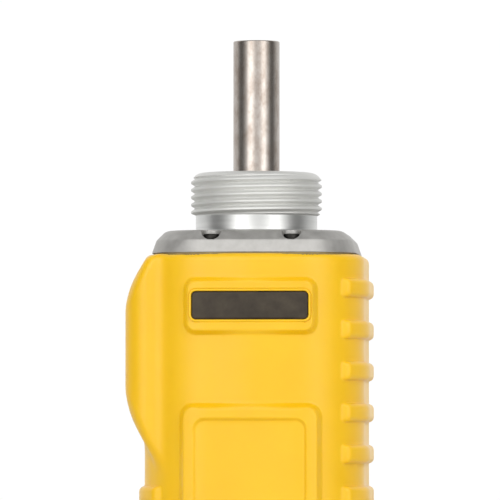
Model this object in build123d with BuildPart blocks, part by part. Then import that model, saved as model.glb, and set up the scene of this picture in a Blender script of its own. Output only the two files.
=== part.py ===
from build123d import *
import os

# Portable gas detector: a pumped hand-held monitor in a rubber boot.
# Millimetres. +Z is up the inlet tube, -Y is the display side, +X is right of the display.
# The origin is on the tube's axis, in the plane that the instrument stands on.

# Driving dimensions
HEIGHT = 255.0          # base to the tip of the inlet tube
HALF_WIDTH = 33.7       # boot, centre to side
FRONT_Y = -30.5         # boot, front face
BACK_Y = 31.5           # boot, back face
FRONT_R = 21.0          # plan corner radius at the front
BACK_R = 12.0           # plan corner radius at the back
BOOT_T = 2.4            # rubber thickness
WALL_T = 2.2            # casing wall thickness
BOOT_TOP = 188.9        # boot rim
CASE_TOP = 188.4        # casing rim
PLATE_Z = 189.2         # underside of the top plate
PLATE_TOP = 196.2       # upper face of the top plate
PLATE_CREASE = 193.2    # the plate's skirt ends and its bevel begins
PLATE_HALF = (31.5, 28.1)
SKIRT_TAPER = 19.3      # degrees off vertical
NECK_TOP = 201.2        # collar's smooth neck ends, thread begins
COLLAR_TOP = 214.4      # upper face of the collar
TUBE_R = 7.15           # inlet tube, outside
TUBE_BORE_R = 3.0
TUBE_SEAT_R = 6.7       # where the tube passes through the collar
THREAD_R = 20.15        # collar thread, crest
THREAD_ROOT_R = 18.95
THREAD_PITCH = 2.29
PAD_T = 0.8             # how far the frames stand proud of the boot
GAP = 0.1               # between casing and boot
COLLAR_BORE_R = 14.5
SPIGOT_R = 17.0         # collar, where it passes through the top plate
NECK_R = 18.7           # collar, below its thread
COLLAR_WEB_Z = 208.0    # the collar is solid above this height
TUBE_FOOT_Z = 205.8

# Alarm window and display panel, as (half width, low z, high z)
WINDOW = (17.8, 168.6, 177.5)
WINDOW_PAD = (20.6, 163.9, 181.8)
PANEL_OUTER = (21.85, 22.0, 143.6)
PANEL_INNER = (17.5, 26.6, 139.0)
LENS = (16.5, 66.0, 110.0)
VIEW = (14.0, 70.0, 104.0)

WINDOW_FACE = -30.6
WINDOW_SEAT = -26.2
LENS_FACE = -29.2
LENS_BACK = -27.6

# Keys
KEY_X = {"key_left": -11.4, "key_mode": 0.0, "key_right": 11.4}
KEY_Z = 45.0
KEY_SIZE = (8.6, 12.0)
KEY_FACE = -31.2
KEY_TRAVEL = 0.8

# Side details
RIB_PITCH = 12.65
RIB_TOP_Z = 178.5
RIB_T = 1.7
RIB_HEIGHT = 6.0
BULGE_X = -39.1
BULGE_Z = (143.9, 174.7)
BULGE_R = 7.5           # its corner beside the front
SOUNDER_Z = 159.0
SOUND_SLOTS = (152.6, 155.8, 159.0, 162.2, 165.4)

# Circuit board and pump
BOARD_Y = (-18.6, -17.0)
PUMP_Y = 17.0
PUMP_Z = 132.0
HOSE_R = 1.9
OUTLET = (13.0, 172.0)  # x and z of the gas outlet
OUTLET_TIP = 33.0

# Battery pack: it tilts out about a pin in its lower edge
BAY_X = 22.4
BAY_Y = 7.6
BAY_Z = (12.2, 113.0)
PACK_X = 22.0
PACK_Y = 8.3
COVER_Y = 28.9
COVER_Z = (14.0, 114.0)
TRAY_Z = (15.5, 110.5)
HINGE_Y = 27.5
HINGE_Z = 18.2
HINGE_R = 1.0
CELL_R = 9.1
LOCK_Z = 98.0           # middle of the thumb pad, unlocked
BAY_CONTACT_X = (-6.0, 0.0, 6.0)
CHARGE_PIN_X = (-4.5, 0.0, 4.5)

# Wrist strap anchor in the back
STRAP_X = -14.0
STRAP_HALF = 7.0
STRAP_Z = (165.0, 179.0)
STRAP_FLOOR = 23.0
STRAP_BAR_Y = 27.6
STRAP_BAR_R = 1.2

# Port door on the lower left side
DOOR_Y = (2.4, 16.0)
DOOR_Z = (29.0, 46.0)
DOOR_PIN_X = -32.65
DOOR_PIN_Y = 17.6
DOOR_PIN_R = 0.7

# Screws that hold the top plate
PLATE_SCREW_X = 12.2
PLATE_SCREW_Y = 23.1
SCREW_SEAT_Z = 193.3    # floor of the screw pockets
CASE_SCREWS = [(-26.4, 9.5), (26.4, 9.5), (-26.4, 112.0), (26.4, 112.0)]

INNER_BACK_Y = BACK_Y - BOOT_T - WALL_T   # casing, inside of the back wall
CASE_Z = BOOT_T                           # casing, underside


def save(piece, label):
    """Label a finished piece and write it as its own STEP file."""
    piece.part.label = label
    export_step(piece.part, f"parts/{label}.step")


def block(x, y, z, mode=Mode.ADD):
    """A box between (low, high) limits along each axis."""
    centre = ((x[0] + x[1]) / 2, (y[0] + y[1]) / 2, (z[0] + z[1]) / 2)
    with Locations(centre):
        Box(x[1] - x[0], y[1] - y[0], z[1] - z[0], mode=mode)


def post(x, y, z, radius, mode=Mode.ADD):
    """A cylinder along Z between (low, high)."""
    with BuildSketch(Plane.XY.offset(z[0])) as section:
        with Locations((x, y)):
            Circle(radius)
    extrude(section.sketch, amount=z[1] - z[0], mode=mode)


def rod_x(x, y, z, radius, mode=Mode.ADD):
    """A cylinder along X between (low, high)."""
    with BuildSketch(Plane.YZ.offset(x[0])) as section:
        with Locations((y, z)):
            Circle(radius)
    extrude(section.sketch, amount=x[1] - x[0], mode=mode)


def rod_y(x, y, z, radius, mode=Mode.ADD):
    """A cylinder along Y between (low, high)."""
    with BuildSketch(Plane.XZ.offset(-y[1])) as section:
        with Locations((x, z)):
            Circle(radius)
    extrude(section.sketch, amount=y[1] - y[0], mode=mode)


def face_plate(half_x, z, y, radius, x=0.0, mode=Mode.ADD):
    """A plate with rounded corners that faces along Y, between (low, high) in y and z."""
    with BuildSketch(Plane.XZ.offset(-y[1])) as section:
        with Locations((x, (z[0] + z[1]) / 2)):
            RectangleRounded(2 * half_x, z[1] - z[0], radius)
    extrude(section.sketch, amount=y[1] - y[0], mode=mode)


def plan(grow, z):
    """Plan section of the instrument's body, grown outward, as a sketch at height z."""
    with BuildSketch(Plane.XY.offset(z)) as section:
        with Locations((0, (FRONT_Y + BACK_Y) / 2)):
            Rectangle(2 * (HALF_WIDTH + grow), BACK_Y - FRONT_Y + 2 * grow)
        fillet(section.vertices().group_by(Axis.Y)[0], FRONT_R + grow)
        fillet(section.vertices().group_by(Axis.Y)[-1], BACK_R + grow)
    return section.sketch


def body_block(grow, z, mode=Mode.ADD):
    """The body's plan, grown outward, between (low, high) heights."""
    extrude(plan(grow, z[0]), amount=z[1] - z[0], mode=mode)


def bulge(grow):
    """The swelling on the left side that makes room for the sounder, as its own solid."""
    outer_x = BULGE_X - grow
    with BuildPart() as swelling:
        with BuildSketch(Plane.XY.offset(BULGE_Z[0] - 20)):
            with BuildLine():
                Polyline((-27, -23.4 - grow), (outer_x, -23.4 - grow), (outer_x, 13 + grow),
                         (-33, 21 + grow), (-27, 21 + grow), close=True)
            make_face()
        extrude(amount=90)
        left_edges = swelling.edges().filter_by(Axis.Z).group_by(Axis.X)[0]
        fillet(left_edges.sort_by(Axis.Y)[0], BULGE_R + grow)
        fillet(left_edges.sort_by(Axis.Y)[-1], 4.0)
        with BuildSketch(Plane.XZ.offset(-40)):
            with BuildLine():
                full = Line((outer_x, BULGE_Z[0]), (outer_x, BULGE_Z[1]))
                above = (-33.3 - grow, BULGE_Z[1] + 12.5 + grow)
                below = (-33.3 - grow, BULGE_Z[0] - 12.5 - grow)
                top = Spline(full @ 1, above, tangents=((0, 1), (0.55, 1)))
                foot = Spline(below, full @ 0, tangents=((-0.55, 1), (0, 1)))
                Polyline(top @ 1, (-26, above[1]), (-26, below[1]), foot @ 0)
            make_face()
        extrude(amount=80, mode=Mode.INTERSECT)
    return swelling.part


def sound_slots(x):
    """Cut the sounder's slots, two columns of them, between (low, high) in x."""
    for y in ((-8.0, -1.5), (1.5, 8.0)):
        for z in SOUND_SLOTS:
            block(x, y, (z - 0.7, z + 0.7), mode=Mode.SUBTRACT)


def grip_rib(z, side):
    """A rib round the front corner and the side: side is 1 on the right, -1 on the left."""
    with BuildPart() as rib:
        body_block(RIB_T, (z - RIB_HEIGHT / 2, z + RIB_HEIGHT / 2))
        chamfer(rib.edges().group_by(Axis.Z)[0], 1.2)
        chamfer(rib.edges().group_by(Axis.Z)[-1], 1.2)
        block(sorted((side * 24.0, side * 50.0)), (-22.9, 16), (z - 10, z + 10),
              mode=Mode.INTERSECT)
    return rib.part


def frame_pad(outer, radius, low=0.0, high=PAD_T):
    """A layer over the body's front, from low to high above it, inside a rounded outline."""
    with BuildPart() as pad:
        body_block(high, (outer[1] - 5, outer[2] + 5))
        if low < high - PAD_T / 2:
            body_block(low, (outer[1] - 6, outer[2] + 6), mode=Mode.SUBTRACT)
        face_plate(outer[0], outer[1:], (FRONT_Y - 5, FRONT_Y + 10), radius, mode=Mode.INTERSECT)
    return pad.part


def make_boot():
    ribs = [grip_rib(RIB_TOP_Z - turn * RIB_PITCH, 1) for turn in range(13)]
    ribs += [grip_rib(RIB_TOP_Z - turn * RIB_PITCH, -1) for turn in range(5, 9)]
    window_pad = frame_pad(WINDOW_PAD, 4.0, -5.0)
    panel_pad = frame_pad(PANEL_OUTER, 4.6, -5.0)
    panel_recess = frame_pad(PANEL_INNER, 3.7)
    outer_bulge = bulge(0)
    inner_bulge = bulge(-BOOT_T)
    with BuildPart() as rubber_boot:
        body_block(0, (0, BOOT_TOP))
        fillet(rubber_boot.faces().sort_by(Axis.Z)[0].edges(), 4.0)
        fillet(rubber_boot.faces().sort_by(Axis.Z)[-1].edges(), 2.2)
        add([outer_bulge, window_pad, panel_pad] + ribs)
        add(panel_recess, mode=Mode.SUBTRACT)
        body_block(-BOOT_T, (CASE_Z, BOOT_TOP + 1), mode=Mode.SUBTRACT)
        add(inner_bulge, mode=Mode.SUBTRACT)
        through = (FRONT_Y - 5, FRONT_Y + 12)
        face_plate(WINDOW[0] + 0.2, (WINDOW[1] - 0.2, WINDOW[2] + 0.2), through, 1.7,
                   mode=Mode.SUBTRACT)
        face_plate(LENS[0] + 0.5, (LENS[1] - 0.5, LENS[2] + 0.5), through, 2.6,
                   mode=Mode.SUBTRACT)
        for x in KEY_X.values():
            face_plate(KEY_SIZE[0] / 2 + 0.4, (KEY_Z - 6.4, KEY_Z + 6.4), through, 3.8, x,
                       mode=Mode.SUBTRACT)
        behind = (20, BACK_Y + 5)
        face_plate(BAY_X, (BAY_Z[0], COVER_Z[1] + 0.5), behind, 2.5, mode=Mode.SUBTRACT)
        face_plate(6.5, (OUTLET[1] - 6.5, OUTLET[1] + 6.5), behind, 6.4, OUTLET[0],
                   mode=Mode.SUBTRACT)
        face_plate(STRAP_HALF, STRAP_Z, behind, 2.5, STRAP_X, mode=Mode.SUBTRACT)
        block((-50, -30), (DOOR_Y[0] - 0.6, 20.2), (DOOR_Z[0] - 1.4, DOOR_Z[1] + 1.4),
              mode=Mode.SUBTRACT)
        sound_slots((-50, -30))
        block((-9, 9), (-13, -3), (-1, 5), mode=Mode.SUBTRACT)
    save(rubber_boot, "rubber_boot")


def make_casing():
    """The whole casing as one shell, before it is split at the middle plane."""
    bulge_shell = bulge(-BOOT_T - GAP)
    with BuildPart() as casing:
        body_block(-BOOT_T - GAP, (CASE_Z, CASE_TOP))
        add(bulge_shell)
        body_block(-BOOT_T - WALL_T, (CASE_Z + 2.5, CASE_TOP + 1), mode=Mode.SUBTRACT)
        block((-35.2, -28), (-11, 11), (149, 169), mode=Mode.SUBTRACT)
        sound_slots((-50, -34))
    return casing.part


def make_front_case(casing):
    inner = FRONT_Y + BOOT_T + WALL_T
    with BuildPart() as front_case:
        add(casing)
        block((-50, 50), (-50, -0.5), (-10, 250), mode=Mode.INTERSECT)
        for x in (-PLATE_SCREW_X, PLATE_SCREW_X):
            post(x, -PLATE_SCREW_Y, (180.5, CASE_TOP), 3.6)
            block((x - 2, x + 2), (inner - 0.2, -PLATE_SCREW_Y + 0.5), (180.5, CASE_TOP))
            post(x, -PLATE_SCREW_Y, (182, 200), 1.5, mode=Mode.SUBTRACT)
        for x, z in CASE_SCREWS:
            rod_y(x, (-14, -0.5), z, 3.2)
            rod_y(x, (-12, 5), z, 1.25, mode=Mode.SUBTRACT)
        through = (FRONT_Y - 5, inner + 6)
        face_plate(WINDOW[0] + 0.05, (WINDOW[1] - 0.05, WINDOW[2] + 0.05), through, 1.55,
                   mode=Mode.SUBTRACT)
        face_plate(20.1, (166.4, 179.6), (WINDOW_SEAT, inner + 6), 2.1, mode=Mode.SUBTRACT)
        face_plate(LENS[0] + 0.1, (LENS[1] - 0.1, LENS[2] + 0.1), (FRONT_Y - 5, LENS_BACK),
                   2.1, mode=Mode.SUBTRACT)
        face_plate(VIEW[0], VIEW[1:], through, 1.5, mode=Mode.SUBTRACT)
        for x in KEY_X.values():
            face_plate(KEY_SIZE[0] / 2 + 0.3, (KEY_Z - 6.3, KEY_Z + 6.3), through, 3.7, x,
                       mode=Mode.SUBTRACT)
        block((-8.1, 8.1), (-12.1, -3.9), (0, 8), mode=Mode.SUBTRACT)
    save(front_case, "front_case")


def make_gasket(casing):
    with BuildPart() as case_gasket:
        add(casing)
        block((-50, 50), (-0.5, 0.5), (-10, 250), mode=Mode.INTERSECT)
    save(case_gasket, "case_gasket")


def make_back_case(casing):
    bay_wall = 1.6
    with BuildPart() as back_case:
        add(casing)
        block((-50, 50), (0.5, 50), (-10, 250), mode=Mode.INTERSECT)
        block((-BAY_X - bay_wall, BAY_X + bay_wall), (BAY_Y - bay_wall, INNER_BACK_Y + 1),
              (CASE_Z + 2, BAY_Z[1] + bay_wall))
        for x in (-PLATE_SCREW_X, PLATE_SCREW_X):
            post(x, PLATE_SCREW_Y, (180.5, CASE_TOP), 3.6)
            block((x - 2, x + 2), (PLATE_SCREW_Y - 0.5, INNER_BACK_Y + 0.2), (180.5, CASE_TOP))
            post(x, PLATE_SCREW_Y, (182, 200), 1.5, mode=Mode.SUBTRACT)
        for x, z in CASE_SCREWS:
            rod_y(x, (0.5, 24), z, 3.4)
            rod_y(x, (0, 23), z, 1.35, mode=Mode.SUBTRACT)
            rod_y(x, (22, 40), z, 2.6, mode=Mode.SUBTRACT)
        block((-6.6, 6.6), (25.4, INNER_BACK_Y + 1), (BAY_Z[1] + 1, 120.4))
        block((-BAY_X, BAY_X), (BAY_Y, 40), BAY_Z, mode=Mode.SUBTRACT)
        block((-BAY_X, BAY_X), (COVER_Y - 0.4, 40), (BAY_Z[0], COVER_Z[1] + 0.5),
              mode=Mode.SUBTRACT)
        block((-5.4, 5.4), (26.5, 28.9), (BAY_Z[1] - 1, 118.6), mode=Mode.SUBTRACT)
        rod_x((-BAY_X - bay_wall - 1, BAY_X + bay_wall + 1), HINGE_Y, HINGE_Z, HINGE_R,
              mode=Mode.SUBTRACT)
        for x in BAY_CONTACT_X:
            rod_y(x, (BAY_Y - 3, BAY_Y + 1), 102, 1.0, mode=Mode.SUBTRACT)
        rod_y(OUTLET[0], (20, 40), OUTLET[1], 2.4, mode=Mode.SUBTRACT)
        face_plate(STRAP_HALF + 1.5, (STRAP_Z[0] - 1.5, STRAP_Z[1] + 1.5),
                   (STRAP_FLOOR - 1.5, INNER_BACK_Y + 1), 3.5, STRAP_X)
        face_plate(STRAP_HALF, STRAP_Z, (STRAP_FLOOR, 40), 2.5, STRAP_X, mode=Mode.SUBTRACT)
        rod_x((STRAP_X - STRAP_HALF - 1.2, STRAP_X + STRAP_HALF + 1.2), STRAP_BAR_Y,
              sum(STRAP_Z) / 2, STRAP_BAR_R, mode=Mode.SUBTRACT)
        for z in ((DOOR_Z[0] - 1.2, DOOR_Z[0] + 1.2), (DOOR_Z[1] - 1.2, DOOR_Z[1] + 1.2)):
            block((-34.3, -30.4), (DOOR_PIN_Y - 1.6, DOOR_PIN_Y + 1.9), z)
        post(DOOR_PIN_X, DOOR_PIN_Y, (DOOR_Z[0] - 2, DOOR_Z[1] + 2), DOOR_PIN_R,
             mode=Mode.SUBTRACT)
        block((-40, -28), (4.9, 14.1), (34.4, 40.6), mode=Mode.SUBTRACT)
    save(back_case, "back_case")


def make_case_screws():
    with BuildPart() as case_screws:
        for x, z in CASE_SCREWS:
            rod_y(x, (-10, 22), z, 1.25)
            rod_y(x, (22, 23.8), z, 2.4)
            rod_y(x, (23, 24), z, 1.1, mode=Mode.SUBTRACT)
    save(case_screws, "case_screws")


def plate_plan():
    """Plan section of the top plate at its underside."""
    with BuildSketch(Plane.XY.offset(PLATE_Z)) as section:
        with Locations((0, 0.5)):
            Rectangle(2 * PLATE_HALF[0], 2 * PLATE_HALF[1])
        fillet(section.vertices().group_by(Axis.Y)[0], FRONT_R - 2.75)
        fillet(section.vertices().group_by(Axis.Y)[-1], BACK_R - 2.75)
    return section.sketch


def make_top_plate():
    bevel = PLATE_TOP - PLATE_CREASE
    with BuildPart() as top_plate:
        extrude(plate_plan(), amount=PLATE_CREASE - PLATE_Z, taper=SKIRT_TAPER)
        extrude(top_plate.faces().sort_by(Axis.Z)[-1], amount=bevel)
        chamfer(top_plate.faces().sort_by(Axis.Z)[-1].edges(), bevel - 0.01)
        post(0, 0, (PLATE_Z - 1, PLATE_TOP + 1), SPIGOT_R + 0.05, mode=Mode.SUBTRACT)
        for x in (-PLATE_SCREW_X, PLATE_SCREW_X):
            for y in (-PLATE_SCREW_Y, PLATE_SCREW_Y):
                post(x, y, (SCREW_SEAT_Z, 200), 3.0, mode=Mode.SUBTRACT)
                post(x, y, (180, 200), 1.6, mode=Mode.SUBTRACT)
    save(top_plate, "top_plate")


def make_plate_gasket():
    with BuildPart() as plate_gasket:
        body_block(-BOOT_T - GAP - 0.4, (CASE_TOP, PLATE_Z))
        body_block(-BOOT_T - WALL_T, (CASE_TOP - 1, PLATE_Z + 1), mode=Mode.SUBTRACT)
    save(plate_gasket, "plate_gasket")


def make_plate_screws():
    with BuildPart() as top_plate_screws:
        for x in (-PLATE_SCREW_X, PLATE_SCREW_X):
            for y in (-PLATE_SCREW_Y, PLATE_SCREW_Y):
                post(x, y, (183, SCREW_SEAT_Z), 1.5)
                post(x, y, (SCREW_SEAT_Z, SCREW_SEAT_Z + 1.6), 2.4)
                with BuildSketch(Plane.XY.offset(SCREW_SEAT_Z + 0.6)) as socket:
                    with Locations((x, y)):
                        RegularPolygon(1.3, 6)
                extrude(socket.sketch, amount=3, mode=Mode.SUBTRACT)
    save(top_plate_screws, "top_plate_screws")


def make_collar():
    """Threaded collar: spigot through the plate, smooth neck, external thread."""
    turn = Helix(pitch=THREAD_PITCH, height=COLLAR_TOP - NECK_TOP - THREAD_PITCH,
                 radius=THREAD_ROOT_R - 0.1, center=(0, 0, NECK_TOP + THREAD_PITCH / 2))
    crest = THREAD_R - THREAD_ROOT_R + 0.1
    with BuildPart() as threaded_collar:
        post(0, 0, (PLATE_Z, PLATE_TOP), SPIGOT_R)
        post(0, 0, (PLATE_TOP, NECK_TOP), NECK_R)
        post(0, 0, (NECK_TOP, COLLAR_TOP), THREAD_ROOT_R)
        chamfer(threaded_collar.edges().filter_by(GeomType.CIRCLE).sort_by(Axis.Z)[-1], 0.6)
        with BuildSketch(Plane(origin=turn @ 0, x_dir=(1, 0, 0), z_dir=(0, 1, 0))) as tooth:
            with BuildLine():
                Polyline((0, -0.95), (0, 0.95), (crest, 0.25), (crest, -0.25), close=True)
            make_face()
        sweep(tooth.sketch, path=turn, is_frenet=True)
        post(0, 0, (PLATE_Z - 1, COLLAR_WEB_Z), COLLAR_BORE_R, mode=Mode.SUBTRACT)
        post(0, 0, (COLLAR_WEB_Z - 1, COLLAR_TOP + 1), TUBE_SEAT_R + 0.03, mode=Mode.SUBTRACT)
        with BuildSketch(Plane.XY.offset(COLLAR_TOP - 1.2)) as ring:
            Circle(16.0)
            Circle(9.6, mode=Mode.SUBTRACT)
        extrude(ring.sketch, amount=3, mode=Mode.SUBTRACT)
    save(threaded_collar, "threaded_collar")


def make_inlet_tube():
    with BuildPart() as inlet_tube:
        post(0, 0, (COLLAR_TOP, HEIGHT), TUBE_R)
        chamfer(inlet_tube.edges().filter_by(GeomType.CIRCLE).sort_by(Axis.Z)[-1], 0.5)
        post(0, 0, (COLLAR_WEB_Z, COLLAR_TOP), TUBE_SEAT_R)
        post(0, 0, (TUBE_FOOT_Z, COLLAR_WEB_Z), 10.5)
        post(0, 0, (TUBE_FOOT_Z - 1, HEIGHT + 1), TUBE_BORE_R, mode=Mode.SUBTRACT)
    save(inlet_tube, "inlet_tube")


def ring(label, outer, inner, z):
    """A plain ring or washer round the tube's axis."""
    with BuildPart() as piece:
        post(0, 0, z, outer)
        if inner:
            post(0, 0, (z[0] - 1, z[1] + 1), inner, mode=Mode.SUBTRACT)
    save(piece, label)


def make_sensor():
    """The ionisation sensor: dust filter, cell, lamp and the block that holds them."""
    ring("dust_filter", 12.0, 0, (201.6, TUBE_FOOT_Z))
    ring("filter_seal", COLLAR_BORE_R - 0.05, 12.05, (201.6, TUBE_FOOT_Z))
    ring("sensor_cell", 12.0, 4.0, (190.2, 201.5))
    with BuildPart() as sensor_block:
        post(0, 0, (148, PLATE_Z - 0.1), 15.4)
        post(0, 0, (150, 190), 6.5, mode=Mode.SUBTRACT)
        rod_x((15, 18.5), 0, 165, 1.2)
        rod_x((6, 20), 0, 165, 0.6, mode=Mode.SUBTRACT)
    save(sensor_block, "sensor_block")
    ring("uv_lamp", 6.35, 0, (150.1, 189.9))


def make_board():
    with BuildPart() as main_board:
        block((-24, 24), BOARD_Y, (20, 176))
        block((-9, 9), (BOARD_Y[1], -14.8), (82, 100))
        block((-20, -10), (BOARD_Y[1], -15.4), (108, 116))
        block((8, 20), (BOARD_Y[1], -14.2), (60, 68))
    save(main_board, "main_board")
    with BuildPart() as alarm_leds:
        for x in (-12, -4, 4, 12):
            block((x - 1.7, x + 1.7), (BOARD_Y[0] - 1.6, BOARD_Y[0]), (171.3, 174.7))
            rod_y(x, (BOARD_Y[0] - 3.0, BOARD_Y[0] - 1.6), 173, 1.4)
    save(alarm_leds, "alarm_leds")
    with BuildPart() as key_switches:
        for x in KEY_X.values():
            block((x - 3, x + 3), (BOARD_Y[0] - 1.4, BOARD_Y[0]), (KEY_Z - 3, KEY_Z + 3))
            rod_y(x, (BOARD_Y[0] - 1.7, BOARD_Y[0] - 1.4), KEY_Z, 1.6)
    save(key_switches, "key_switches")
    with BuildPart() as vibration_motor:
        rod_x((-6, 4), -13.4, 50, 3.5)
        rod_x((4, 5.5), -13.4, 50, 0.8)
        with BuildSketch(Plane.YZ.offset(5.0)) as weight:
            with Locations((-13.4, 50)):
                Circle(3.3)
            with Locations((-13.4, 52.4)):
                Rectangle(8, 4, mode=Mode.SUBTRACT)
        extrude(weight.sketch, amount=3.5)
    save(vibration_motor, "vibration_motor")


def make_front_fittings():
    with BuildPart() as alarm_window:
        face_plate(WINDOW[0], WINDOW[1:], (WINDOW_FACE, WINDOW_SEAT), 1.5)
        face_plate(20.0, (166.5, 179.5), (WINDOW_SEAT, WINDOW_SEAT + 1.5), 2.0)
    save(alarm_window, "alarm_window")
    with BuildPart() as display_lens:
        face_plate(LENS[0], LENS[1:], (LENS_FACE, LENS_BACK), 2.0)
    save(display_lens, "display_lens")
    with BuildPart() as lcd_module:
        face_plate(17.5, (66, 108), (-25.0, -20.6), 0.8)
        face_plate(13.0, VIEW[1:], (-25.6, -25.0), 0.4)
    save(lcd_module, "lcd_module")


def make_key(label, x):
    """A key cap that passes through the casing, with a flange behind the wall and a stem."""
    half = KEY_SIZE[0] / 2
    half_z = KEY_SIZE[1] / 2
    with BuildPart() as key:
        face_plate(half, (KEY_Z - half_z, KEY_Z + half_z), (KEY_FACE, -25.3), 3.4, x)
        face_plate(half + 0.8, (KEY_Z - half_z - 0.8, KEY_Z + half_z + 0.8), (-25.3, -24.3),
                   4.0, x)
        rod_y(x, (-24.3, BOARD_Y[0] - 1.7 - KEY_TRAVEL - 0.05), KEY_Z, 1.5)
        fillet(key.faces().sort_by(Axis.Y)[0].edges(), 0.6)
    save(key, label)


def make_pump():
    with BuildPart() as pump_motor:
        rod_x((-24, -0.1), PUMP_Y, PUMP_Z, 8.0)
        rod_x((-25.5, -24), PUMP_Y, PUMP_Z, 2.5)
    save(pump_motor, "pump_motor")
    with BuildPart() as pump_head:
        block((0, 18), (PUMP_Y - 10, PUMP_Y + 9.5), (PUMP_Z - 11, PUMP_Z + 11))
        fillet(pump_head.edges().filter_by(Axis.X), 2.0)
        rod_x((18, 21), PUMP_Y - 3, PUMP_Z, 1.2)
        post(OUTLET[0], PUMP_Y + 2, (PUMP_Z + 11, PUMP_Z + 14), 1.2)
    save(pump_head, "pump_head")
    with BuildPart() as pump_cradle:
        block((-22, -3), (PUMP_Y - 9, PUMP_Y + 8.5), (BAY_Z[1] + 1.6, PUMP_Z - 3))
        rod_x((-30, 0), PUMP_Y, PUMP_Z, 8.05, mode=Mode.SUBTRACT)
        block((-7, 7), (25, 40), (BAY_Z[1], 121), mode=Mode.SUBTRACT)
    save(pump_cradle, "pump_cradle")


def make_hose(label, points, radius):
    """A hose along straight runs joined by arcs, open at both ends."""
    with BuildPart() as hose:
        with BuildLine() as route:
            FilletPolyline(*points, radius=radius)
        start = Plane(origin=route.line @ 0, z_dir=route.line % 0)
        with BuildSketch(start) as section:
            Circle(HOSE_R)
            Circle(1.25, mode=Mode.SUBTRACT)
        sweep(section.sketch, path=route.line)
    save(hose, label)


def make_gas_path():
    reach = 25.6
    pump_y = PUMP_Y - 3
    make_hose("intake_hose", [(15.6, 0, 165), (reach, 0, 165), (reach, pump_y, PUMP_Z),
                              (18.1, pump_y, PUMP_Z)], 4.0)
    x, z = OUTLET
    rise_y = PUMP_Y + 2
    make_hose("exhaust_hose", [(x, rise_y, PUMP_Z + 11.1), (x, rise_y, z), (x, 26.0, z)], 4.5)
    with BuildPart() as gas_outlet:
        rod_y(x, (24.0, OUTLET_TIP), z, 1.2)
        rod_y(x, (26.2, 29.0), z, 2.4)
        rod_y(x, (29.0, OUTLET_TIP), z, 2.0)
        rod_y(x, (29.0, 30.0), z, 3.4)
        rod_y(x, (20, 40), z, 0.7, mode=Mode.SUBTRACT)
    save(gas_outlet, "gas_outlet")


def make_sounder():
    with BuildPart() as sounder:
        rod_x((-35.0, -29.5), 0, SOUNDER_Z, 9.0)
        rod_x((-35.5, -34.0), 0, SOUNDER_Z, 1.5, mode=Mode.SUBTRACT)
        rod_x((-29.5, -28.0), 3, SOUNDER_Z, 0.5)
        rod_x((-29.5, -28.0), -3, SOUNDER_Z, 0.5)
    save(sounder, "sounder")


def make_contacts():
    with BuildPart() as charge_block:
        block((-8, 8), (-12, -4), (0.8, 6.5))
        for x in CHARGE_PIN_X:
            post(x, -8, (0, 8), 1.5, mode=Mode.SUBTRACT)
    save(charge_block, "charge_block")
    with BuildPart() as charge_pins:
        for x in CHARGE_PIN_X:
            post(x, -8, (0.6, 9.0), 1.5)
    save(charge_pins, "charge_pins")
    with BuildPart() as bay_contacts:
        for x in BAY_CONTACT_X:
            rod_y(x, (BAY_Y - 3.5, PACK_Y - 0.05), 102, 1.0)
    save(bay_contacts, "bay_contacts")
    with BuildPart() as comm_socket:
        block((-31.05, -24.2), (5, 14), (34.5, 40.5))
        block((-40, -25.4), (6, 13), (36, 39), mode=Mode.SUBTRACT)
    save(comm_socket, "comm_socket")


def make_port_door():
    with BuildPart() as port_door:
        block((-33.55, -31.55), (DOOR_Y[0], DOOR_PIN_Y - 1), DOOR_Z)
        post(DOOR_PIN_X, DOOR_PIN_Y, (DOOR_Z[0] + 1.5, DOOR_Z[1] - 1.5), 1.2)
        block((-40, -30), (DOOR_PIN_Y - 2.8, 30), (20, DOOR_Z[0] + 1.5), mode=Mode.SUBTRACT)
        block((-40, -30), (DOOR_PIN_Y - 2.8, 30), (DOOR_Z[1] - 1.5, 60), mode=Mode.SUBTRACT)
        post(DOOR_PIN_X, DOOR_PIN_Y, (20, 60), DOOR_PIN_R + 0.05, mode=Mode.SUBTRACT)
        block((-34.35, -33.45), (DOOR_Y[0] + 0.6, DOOR_Y[0] + 2.0), (34, 41))
        block((-31.75, -31.15), (6.2, 12.8), (36.2, 38.8))
    save(port_door, "port_door")
    with BuildPart() as door_pin:
        post(DOOR_PIN_X, DOOR_PIN_Y, (DOOR_Z[0] - 1.2, DOOR_Z[1] + 1.2), DOOR_PIN_R)
    save(door_pin, "door_pin")


def make_strap_bar():
    with BuildPart() as strap_bar:
        rod_x((STRAP_X - STRAP_HALF - 1.2, STRAP_X + STRAP_HALF + 1.2), STRAP_BAR_Y,
              sum(STRAP_Z) / 2, STRAP_BAR_R)
    save(strap_bar, "strap_bar")


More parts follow.
